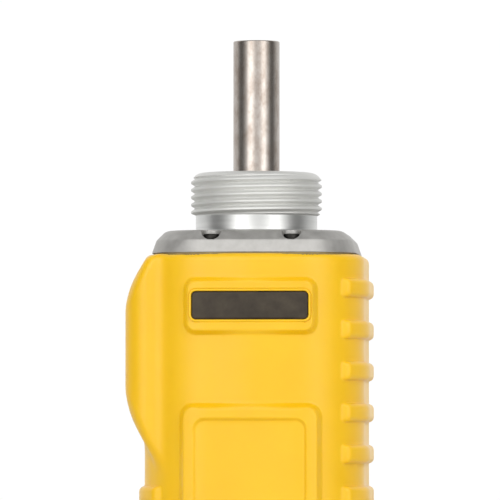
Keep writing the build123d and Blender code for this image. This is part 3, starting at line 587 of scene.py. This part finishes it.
def key_cap(low, high):
    """A key: dished cap, flange and stem, inside its node's box."""
    middle = ((low[0] + high[0]) / 2, (low[2] + high[2]) / 2)
    flange_front, flange_back = KEY_FLANGE_Y
    hollow = KEY_DISH_R - KEY_DISH_SINK

    def key(x, y, z):
        cap = round_rect(x, z, middle, *KEY_CAP)
        cap = round_max(cap, between(y, low[1], flange_back), 0.8)
        away = np.hypot(x - middle[0], (z - middle[1]) * 0.7)
        dish = np.hypot(away, y - low[1] + hollow) - KEY_DISH_R
        cap = round_max(cap, -dish, 0.5)
        flange = round_rect(x, z, middle, *KEY_FLANGE)
        flange = round_max(flange, between(y, flange_front, flange_back), 0.2)
        stem = np.hypot(x - middle[0], z - middle[1]) - KEY_STEM_R
        stem = np.maximum(stem, between(y, -24.5, high[1]))
        return np.minimum(np.minimum(cap, flange), stem)
    return key


def battery_cover(x, y, z):
    """The pack's cover: soft edges, grip ribs low down, and the lock's recess."""
    face = COVER_HIGH[1]
    outline = rect_of(COVER_LOW, COVER_HIGH, 0.0, 2.2)
    ribs = np.abs(np.mod(z - 24.0, COVER_RIB_PITCH) - COVER_RIB_PITCH / 2) - 1.5
    field = round_rect(x, z, *COVER_RIBS)
    sunk = COVER_RIB_SINK * ease(-field / 0.6) * ease(0.5 + ribs / 0.7)
    cover = round_max(round_rect(x, z, *outline), between(y, COVER_LOW[1], face), 0.9)
    cover = np.maximum(cover, y - face + sunk)
    recess = round_rect(x, z, *LOCK_RECESS)
    cover = round_max(cover, -np.maximum(recess, face - 1.0 - y), 0.3)
    slot = round_rect(x, z, *LOCK_SLOT)
    return np.maximum(cover, -np.maximum(slot, COVER_LOW[1] - 1.0 - y))


def battery_lock(x, y, z):
    """The sliding lock: a grooved thumb pad, a web and a bolt."""
    face = LOCK_HIGH[1]
    pad = round_max(round_rect(x, z, *LOCK_PAD), between(y, face - 1.6, face), 0.35)
    groove = np.abs(np.mod(z - LOCK_Z, LOCK_GROOVE_PITCH) - LOCK_GROOVE_PITCH / 2) - 0.55
    grip = np.maximum(groove, round_rect(x, z, *LOCK_GRIP))
    pad = round_max(pad, -np.maximum(grip, face - 0.45 - y), 0.15)
    web = np.maximum(round_rect(x, z, *LOCK_WEB), between(y, 28.3, face - 1.2))
    bolt = np.maximum(round_rect(x, z, *LOCK_BOLT), between(y, 27.0, 28.8))
    return np.minimum(np.minimum(pad, web), bolt)


def port_door(x, y, z):
    """The socket's door: soft edges, a finger lip, a plug inside and its knuckle."""
    outer, inner = DOOR_LOW[0], DOOR_HIGH[0]
    flap = round_max(round_rect(y, z, *DOOR_FLAP), between(x, outer + 0.8, outer + 2.8), 0.5)
    arm = np.maximum(round_rect(y, z, *DOOR_ARM), between(x, outer + 0.9, outer + 2.5))
    hinge = np.hypot(x - DOOR_PIN[0], y - DOOR_PIN[1])
    knuckle = np.maximum(hinge - DOOR_KNUCKLE_R, between(z, *DOOR_KNUCKLE_Z))
    lip = round_rect(y, z, (DOOR_LOW[1] + 1.3, DOOR_Z), (0.7, 3.5), 0.6)
    lip = round_max(lip, between(x, outer, outer + 1.4), 0.3)
    plug = round_max(round_rect(y, z, *DOOR_PLUG), between(x, inner - 0.9, inner), 0.2)
    door = np.minimum(np.minimum(flap, np.minimum(arm, knuckle)), np.minimum(lip, plug))
    return np.maximum(door, DOOR_PIN_HOLE - hinge)


# ---------------------------------------------------------------- meshes

def mesh_object(name, points, faces, mat, body, stands_for=(), normals=None, crease=None):
    """Make a piece from points in millimetres, put it on its body and hide the nodes it replaces."""
    mesh = bpy.data.meshes.new(name)
    mesh.from_pydata((np.asarray(points) * MM).tolist(), [], faces)
    mesh.validate()
    mesh.polygons.foreach_set("use_smooth", np.ones(len(mesh.polygons), bool))
    if normals is not None:
        mesh.normals_split_custom_set_from_vertices(np.asarray(normals).tolist())
    if crease is not None:
        mesh.set_sharp_from_angle(angle=math.radians(crease))
    mesh.materials.append(mat)
    made = bpy.data.objects.new(name, mesh)
    bpy.context.scene.collection.objects.link(made)
    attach(made, body)
    if stands_for:
        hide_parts(*stands_for)
    return made


def slope(distance, points, step):
    """Unit gradient of a distance at some points."""
    parts = []
    for axis in range(3):
        shift = np.zeros(3)
        shift[axis] = step
        ahead = distance(*(points + shift).T)
        behind = distance(*(points - shift).T)
        parts.append(ahead - behind)
    gradient = np.stack(parts, axis=1)
    length = np.linalg.norm(gradient, axis=1, keepdims=True)
    return gradient / np.maximum(length, 1e-6)


def sample(distance, low, high, step, columns=None):
    """Values of a distance on a grid; columns picks the ones worth working out at a height."""
    x, y, z = [np.arange(a, b + step, step, dtype=np.float32) for a, b in zip(low, high)]
    grid_x, grid_y = np.meshgrid(x, y, indexing="ij")
    values = np.ones((len(x), len(y), len(z)), np.float32)
    keep = np.ones(grid_x.shape, bool)
    for start in range(0, len(z), 24):
        layers = z[start:start + 24]
        if columns:
            keep = columns(grid_x, grid_y, layers[0])
        part = distance(grid_x[keep][:, None], grid_y[keep][:, None], layers[None, :])
        values[keep, start:start + 24] = part
    return values


def carve(name, distance, low, high, step, mat, body, stands_for=(), columns=None,
          adaptivity=0.02, shift=(0.0, 0.0, 0.0)):
    """Mesh a distance: polygons from a grid, then points and normals set by the distance."""
    low = np.asarray(low, float) - 2 * step
    high = np.asarray(high, float) + 2 * step
    grid = openvdb.FloatGrid(1.0)
    grid.copyFromArray(sample(distance, low, high, step, columns), tolerance=0.0)
    points, tris, quads = grid.convertToPolygons(isovalue=0.0, adaptivity=adaptivity)
    points = np.asarray(points, float) * step + low
    for _ in range(2):
        off = distance(*points.T)
        points = points - slope(distance, points, 0.05) * np.clip(off, -step, step)[:, None]
    normals = slope(distance, points, 0.04)
    faces = [tuple(face) for face in np.asarray(tris).tolist()]
    faces += [tuple(face) for face in np.asarray(quads).tolist()]
    sample_face = np.array(points)[list(faces[0][:3])]
    facing = np.cross(sample_face[1] - sample_face[0], sample_face[2] - sample_face[0])
    if facing @ normals[faces[0][0]] < 0:
        faces = [face[::-1] for face in faces]
    return mesh_object(name, points + np.array(shift), faces, mat, body, stands_for, normals)


def soften(corners, steps=4):
    """A closed outline from (u, v, radius) corners, each turned into a small curve."""
    rounded = []
    for index, corner in enumerate(corners):
        here = np.array(corner[:2], float)
        back = np.array(corners[index - 1][:2], float) - here
        ahead = np.array(corners[(index + 1) % len(corners)][:2], float) - here
        radius = corner[2]
        if not radius:
            rounded.append(here)
            continue
        reach_back = min(radius / np.linalg.norm(back), 0.45)
        reach_ahead = min(radius / np.linalg.norm(ahead), 0.45)
        for step in range(steps + 1):
            t = step / steps
            rounded.append(here + (1 - t) ** 2 * reach_back * back + t * t * reach_ahead * ahead)
    return rounded


def ring_faces(rings, around):
    """Quads between closed rings of points, each of the same count, joined in a loop."""
    faces = []
    for ring in range(rings):
        following = (ring + 1) % rings
        for turn in range(around):
            nxt = (turn + 1) % around
            faces.append((ring * around + turn, ring * around + nxt,
                          following * around + nxt, following * around + turn))
    return faces


def lathe(name, outline, origin, axis, mat, stands_for=(), sides=96, body="instrument"):
    """Turn a closed outline of (radius, height) round an axis through origin."""
    turns = np.linspace(0.0, 2 * math.pi, sides, endpoint=False)
    outline = np.array(outline)
    radius = outline[:, 0:1]
    along = np.repeat(outline[:, 1:2], sides, axis=1)
    first = radius * np.cos(turns)
    second = radius * np.sin(turns)
    order = {"x": (along, first, second), "y": (second, along, first), "z": (first, second, along)}
    points = np.stack(order[axis], axis=-1).reshape(-1, 3) + np.array(origin)
    faces = outward(points, ring_faces(len(outline), sides))
    made = mesh_object(name, points, faces, mat, body, stands_for, crease=40)
    if outline[:, 0].min() == 0.0:
        weld(made.data)
    return made


def weld(mesh):
    """Merge the points that lie on a lathe's axis."""
    work = bmesh.new()
    work.from_mesh(mesh)
    bmesh.ops.remove_doubles(work, verts=work.verts, dist=0.001 * MM)
    work.to_mesh(mesh)
    work.free()


def outward(points, faces):
    """The faces, turned round if they face into their solid."""
    points = np.asarray(points)
    quads = points[np.array(faces)]
    volume = np.einsum("ij,ij->i", quads[:, 0], np.cross(quads[:, 1], quads[:, 2])).sum()
    volume += np.einsum("ij,ij->i", quads[:, 0], np.cross(quads[:, 2], quads[:, 3])).sum()
    return [face[::-1] for face in faces] if volume < 0 else faces


# ---------------------------------------------------------------- pieces

def make_boot():
    """The boot, on a fine grid."""
    fine = 0.27
    carve("boot", boot, (BOOT_LOW[0], BOOT_LOW[1], 0.0), BOOT_HIGH, fine, BOOT, "instrument",
          ("rubber_boot",), near_boot_wall, 0.015)


def alarm_window(x, y, z):
    """The window: its face, and a flange behind the wall."""
    face = round_rect(x, z, *rect_of(WINDOW_LOW, WINDOW_HIGH, -WINDOW_FLANGE, 1.5))
    face = round_max(face, between(y, WINDOW_LOW[1], WINDOW_HIGH[1]), 0.25)
    flange = round_rect(x, z, *rect_of(WINDOW_LOW, WINDOW_HIGH, 0.0, 2.0))
    flange = np.maximum(flange, between(y, WINDOW_HIGH[1] - 1.5, WINDOW_HIGH[1]))
    return np.minimum(face, flange)


def make_window():
    """The dark window and the lip of the boot round it."""
    carve("window", alarm_window, WINDOW_LOW, WINDOW_HIGH, 0.25, smoked_plastic(), "instrument",
          ("alarm_window",))
    front, foot = BOOT_LOW[1] + 0.02, LIP_BACK
    middle, half, radius = rect_of(WINDOW_LOW, WINDOW_HIGH, 0.02 - WINDOW_FLANGE, 1.5)
    section = [(0.0, foot, 0), (0.0, front, LIP_EDGE), (LIP, front, LIP_EDGE), (LIP, foot, 0)]
    section = soften(section, 6)
    points = []
    steps = 12                      # along each corner's quarter turn
    corners = ((1, 1, 0.0), (-1, 1, 0.5), (-1, -1, 1.0), (1, -1, 1.5))
    for right, up, start in corners:
        hub_x = middle[0] + right * (half[0] - radius)
        hub_z = middle[1] + up * (half[1] - radius)
        for step in range(steps + 1):
            turn = math.pi * (start + step / (2 * steps))
            for out, y in section:
                reach = radius + out
                points.append((hub_x + math.cos(turn) * reach, y, hub_z + math.sin(turn) * reach))
    faces = outward(points, ring_faces(len(points) // len(section), len(section)))
    mesh_object("window_lip", points, faces, BOOT, "instrument", crease=50)


def collar_radius(turn, z):
    """Outside of the collar: smooth neck, right-hand thread, rounded end."""
    along = z - THREAD_FROM - THREAD_PITCH * (turn - math.pi) / (2 * math.pi)
    phase = np.abs(np.mod(along / THREAD_PITCH + 0.5, 1.0) - 0.5)
    tooth = ease((THREAD_TOOTH[0] - phase) / THREAD_TOOTH[1])
    start = ease((z - NECK_TOP + 0.2) / 0.9)
    root = NECK_R + (THREAD_ROOT - NECK_R) * start
    radius = root + (THREAD_CREST - THREAD_ROOT) * tooth * start
    return np.minimum(radius, np.interp(z, END_Z, END_R))


def make_collar():
    """The collar: foot in the plate, neck, thread, and an end with a groove round the tube."""
    sides = 288
    turns = np.linspace(0.0, 2 * math.pi, sides, endpoint=False)
    base, top = COLLAR_LOW[2], COLLAR_HIGH[2]
    seat = PLATE_HIGH[2] + 0.02
    groove_in, groove_out, groove_depth = COLLAR_GROOVE
    rings = [(COLLAR_INNER_R, base), (COLLAR_FOOT_R, base), (COLLAR_FOOT_R, seat)]
    rings += [(NECK_FLARE[0], seat), (NECK_FLARE[1], seat + 0.1)]
    neck_heights = np.linspace(196.6, NECK_TOP - 0.3, 6)
    thread_heights = np.linspace(NECK_TOP - 0.2, COLLAR_END - 0.02, 152)
    rings += [(None, z) for z in np.concatenate((neck_heights, thread_heights))]
    rings += soften([(groove_out, top, 0.25), (groove_out, top - groove_depth, 0.25),
                     (groove_in, top - groove_depth, 0.25), (groove_in, top, 0.25),
                     (COLLAR_BORE, top, 0), (COLLAR_BORE, COLLAR_WEB_Z, 0),
                     (COLLAR_INNER_R, COLLAR_WEB_Z, 0)])
    points = []
    for radius, z in rings:
        reach = collar_radius(turns, z) if radius is None else np.full(sides, radius)
        ring = (reach * np.cos(turns), reach * np.sin(turns), np.full(sides, z))
        points.append(np.stack(ring, axis=1))
    points = np.concatenate(points)
    faces = outward(points, ring_faces(len(rings), sides))
    mesh_object("collar", points, faces, turned_metal(), "instrument",
                ("threaded_collar",), crease=55)


def make_tube():
    """The inlet tube with its bore, a rounded tip and the foot inside the collar."""
    foot, top = TUBE_LOW[2], TUBE_HIGH[2]
    foot_r, foot_top = TUBE_FOOT[0], foot + TUBE_FOOT[1]
    outline = [(TUBE_BORE, foot, 0), (foot_r, foot, 0), (foot_r, foot_top, 0),
               (TUBE_SEAT_R, foot_top, 0), (TUBE_SEAT_R, COLLAR_END, 0), (TUBE_R, COLLAR_END, 0),
               (TUBE_R, top, 0.55), (TUBE_BORE, top, 0.35)]
    lathe("inlet", soften(outline, 6), (0, 0, 0), "z", polished_steel(), ("inlet_tube",), 128)


def make_plate():
    """The cast plate and the four screws in its pockets."""
    fine = 0.2
    carve("plate", top_plate, PLATE_LOW, PLATE_HIGH, fine, cast_metal(), "instrument",
          ("top_plate",))
    metal = screw_steel()
    across = SCREW_HEAD[0] + 0.2
    screw_low = (-across, -across, -SCREW_SHANK[1] - 0.2)
    screw_high = (across, across, SCREW_HEAD[1] + 0.2)
    stands_for = ("top_plate_screws",)
    for end, y in (("front", -1), ("back", 1)):
        for side, x in (("left", -1), ("right", 1)):
            place = (POCKET_AT[0] * x, POCKET_AT[1] * y, PLATE_LOW[2] + POCKET_FLOOR)
            carve("screw_" + end + "_" + side, socket_screw, screw_low, screw_high, 0.13, metal,
                  "instrument", stands_for, shift=place)
            stands_for = ()


def make_panel():
    """Display lens and keys."""
    carve("lens", front_panel(LENS_LOW, LENS_HIGH, 2.0, 0.3), LENS_LOW, LENS_HIGH, 0.3,
          clear_lens(), "instrument", ("display_lens",))
    rubber = surface("key_cap", (0.055, 0.055, 0.060), (0.085, 0.085, 0.090), (0.45, 0.6),
                     grain=1600.0)
    for key, (low, high) in KEYS.items():
        carve(key + "_cap", key_cap(low, high), low, high, 0.2, rubber, key, (key,))


def make_back():
    """Battery cover, lock, gas outlet and strap bar."""
    black = FINISHES["battery_plastic"]
    carve("cover", battery_cover, COVER_LOW, COVER_HIGH, 0.3, black, "battery_pack",
          ("battery_cover",))
    carve("lock", battery_lock, LOCK_LOW, LOCK_HIGH, 0.2, black, "battery_lock",
          ("battery_lock",))
    x, z = ((OUTLET_LOW + OUTLET_HIGH) / 2)[[0, 2]]
    tip = OUTLET_HIGH[1]
    barb = [(0.7, 24.0), (1.2, 24.0), (1.2, 26.2), (2.4, 26.2), (2.4, 29.0), (3.4, 29.0), (3.4, 30.0),
            (1.7, 30.0), (1.7, 30.5), (2.0, 30.5), (1.65, 31.6), (2.0, 31.6), (1.5, tip), (0.7, tip)]
    barb = [(radius, along, 0.12) for radius, along in barb]
    lathe("outlet", soften(barb, 3), (x, 0, z), "y", FINISHES["steel"], ("gas_outlet",), 64)
    low, high = STRAP_LOW, STRAP_HIGH
    bar = [(0.0, low[0]), (1.2, low[0]), (1.2, -20.5), (1.05, -17.5), (1.0, -14.0), (1.05, -10.5),
           (1.2, -7.5), (1.2, high[0]), (0.0, high[0])]
    middle = (low + high) / 2
    lathe("strap_loop", bar, (0, middle[1], middle[2]), "x", FINISHES["steel"],
          ("strap_bar",), 48)


def make_side():
    """The port door."""
    carve("door", port_door, DOOR_LOW, DOOR_HIGH, 0.18, BOOT, "port_door",
          ("port_door",))


# ---------------------------------------------------------------- carried-over CAD nodes

CARRIED = {
    "casing_plastic": ("front_case", "back_case", "charge_block", "comm_socket"),
    "battery_plastic": ("battery_tray",),
    "seal_rubber": ("case_gasket", "filter_seal"),
    "steel": ("case_screws", "battery_hinge_pin", "door_pin"),
    "display": ("lcd_module",),
    "circuit_board": ("main_board", "battery_board"),
    "led_plastic": ("alarm_leds",),
    "component_black": ("key_switches", "sounder", "pump_cradle"),
    "motor_steel": ("pump_motor", "vibration_motor"),
    "pump_plastic": ("pump_head",),
    "hose_rubber": ("intake_hose", "exhaust_hose"),
    "sensor_polymer": ("sensor_block", "sensor_cell"),
    "lamp_glass": ("uv_lamp",),
    "filter_media": ("dust_filter",),
    "gold_contact": ("charge_pins", "bay_contacts", "battery_pads"),
    "cell_wrap": ("battery_cells",),
}


def dress(name, mat):
    """Give a CAD node its material."""
    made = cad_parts[name]
    made.data.materials.clear()
    made.data.materials.append(mat)


def finish_carried():
    """Dress every CAD node that stays."""
    for slot, names in CARRIED.items():
        for name in names:
            dress(name, FINISHES[slot])
    # Painted shade on the plate's gasket: the olive-brown stands for the shadow line under the plate,
    # warmed by yellow light thrown back off the boot.
    gasket_shadow_tint = surface("seal_painted_shadow", (0.26, 0.19, 0.07), (0.36, 0.28, 0.12), (0.55, 0.70))
    dress("plate_gasket", gasket_shadow_tint)


# ---------------------------------------------------------------- studio

VIEW_TURN = math.radians(3.9)       # the camera stands this far round to the right
CAMERA_LENS = 468.0                 # focal length on a sensor of SENSOR width
SENSOR = 36.0
CAMERA_AWAY = 2.0
CAMERA_HEIGHT = 0.127
TARGET = Vector((-0.002, -0.0001, 0.1907))
FLOOR_HALF = 3.0                    # half the studio floor's width
FLOOR_STEPS = 24


def make_camera():
    """A long lens at the photograph's angle: lower than the top plate, and a little to the right."""
    data = bpy.data.cameras.new("camera")
    data.sensor_width = SENSOR
    data.lens = CAMERA_LENS
    data.clip_end = 50.0
    camera = bpy.data.objects.new("camera", data)
    bpy.context.scene.collection.objects.link(camera)
    camera.location = (TARGET.x + CAMERA_AWAY * math.sin(VIEW_TURN),
                       TARGET.y - CAMERA_AWAY * math.cos(VIEW_TURN), CAMERA_HEIGHT)
    camera.rotation_euler = (TARGET - camera.location).to_track_quat("-Z", "Y").to_euler()
    bpy.context.scene.camera = camera


def math_node(tree, operation, first, second=None):
    """A math node's result, from numbers or other nodes' values."""
    made = node(tree, "ShaderNodeMath", operation=operation)
    for index, value in enumerate((first, second)):
        if isinstance(value, (int, float)):
            made.inputs[index].default_value = value
        elif value is not None:
            tree.links.new(value, made.inputs[index])
    return made.outputs["Value"]


def grey_ramp(tree, value, stops, low, high):
    """Map a value between low and high to a brightness; stops are (value, brightness)."""
    scaled = math_node(tree, "DIVIDE", math_node(tree, "SUBTRACT", value, low), high - low)
    top = max(bright for _, bright in stops)
    places = [((at - low) / (high - low), (bright / top,) * 3) for at, bright in stops]
    return math_node(tree, "MULTIPLY", ramp(tree, scaled, places), top)


# Brightness by direction in degrees from straight in front, positive to the right
AROUND = ((-180, 1.02), (-146, 1.0), (-122, 0.95), (-104, 0.80), (-96, 0.50), (-86, 0.22), (-70, 0.18),
          (-57, 0.48), (-46, 1.0), (-36, 2.3), (-20, 2.7), (-8, 1.7), (0, 1.2), (12, 1.2), (24, 1.5),
          (34, 2.6), (46, 2.6), (55, 1.5), (64, 0.85), (77, 0.22), (94, 0.20), (108, 0.50), (122, 0.78),
          (150, 1.0), (180, 1.02))
# Brightness and share by height, the sine of the elevation
RISE = ((-1.0, 0.9), (0.75, 0.8), (0.93, 0.44), (1.0, 0.42))
RISE_SHARE = ((-1.0, 0.0), (0.68, 0.0), (0.90, 1.0), (1.0, 1.0))


def make_world():
    """A white room by direction: bright to both sides of the camera, dark at the sides, dim above."""
    world = bpy.data.worlds.new("studio")
    world.use_nodes = True
    bpy.context.scene.world = world
    tree = world.node_tree
    place = node(tree, "ShaderNodeTexCoord")
    parts = node(tree, "ShaderNodeSeparateXYZ")
    tree.links.new(place.outputs["Generated"], parts.inputs["Vector"])
    toward = math_node(tree, "MULTIPLY", parts.outputs["Y"], -1.0)
    turn = math_node(tree, "ARCTAN2", parts.outputs["X"], toward)
    degrees = math_node(tree, "MULTIPLY", turn, 180.0 / math.pi)
    around = grey_ramp(tree, degrees, AROUND, -180.0, 180.0)
    rise = grey_ramp(tree, parts.outputs["Z"], RISE, -1.0, 1.0)
    share = grey_ramp(tree, parts.outputs["Z"], RISE_SHARE, -1.0, 1.0)
    mixed = node(tree, "ShaderNodeMix")
    mixed.data_type = "FLOAT"
    tree.links.new(share, mixed.inputs["Factor"])
    tree.links.new(around, mixed.inputs["A"])
    tree.links.new(rise, mixed.inputs["B"])
    background = tree.nodes["Background"]
    tree.links.new(mixed.outputs["Result"], background.inputs["Color"])
    background.inputs["Strength"].default_value = 1.0


def make_floor():
    """A plain pale floor, flat and wide."""
    mesh = bpy.data.meshes.new("floor")
    places = np.linspace(-FLOOR_HALF, FLOOR_HALF, FLOOR_STEPS + 1)
    points = [(x, y, 0.0) for y in places for x in places]
    faces = []
    across = FLOOR_STEPS + 1
    for row in range(FLOOR_STEPS):
        for column in range(FLOOR_STEPS):
            corner = row * across + column
            faces.append((corner, corner + 1, corner + across + 1, corner + across))
    mesh.from_pydata(points, [], faces)
    floor = bpy.data.objects.new("floor", mesh)
    bpy.context.scene.collection.objects.link(floor)
    mesh.materials.append(surface("floor_paint", (0.80, 0.80, 0.79), (0.84, 0.84, 0.83), (0.6, 0.7),
                                  scale=6.0, grain=200.0, depth=0.02))


# ---------------------------------------------------------------- the whole

make_boot()
make_window()
make_plate()
make_collar()
make_tube()
make_panel()
make_back()
make_side()
finish_carried()
make_camera()
make_world()
make_floor()
bpy.context.scene.view_settings.view_transform = "Standard"
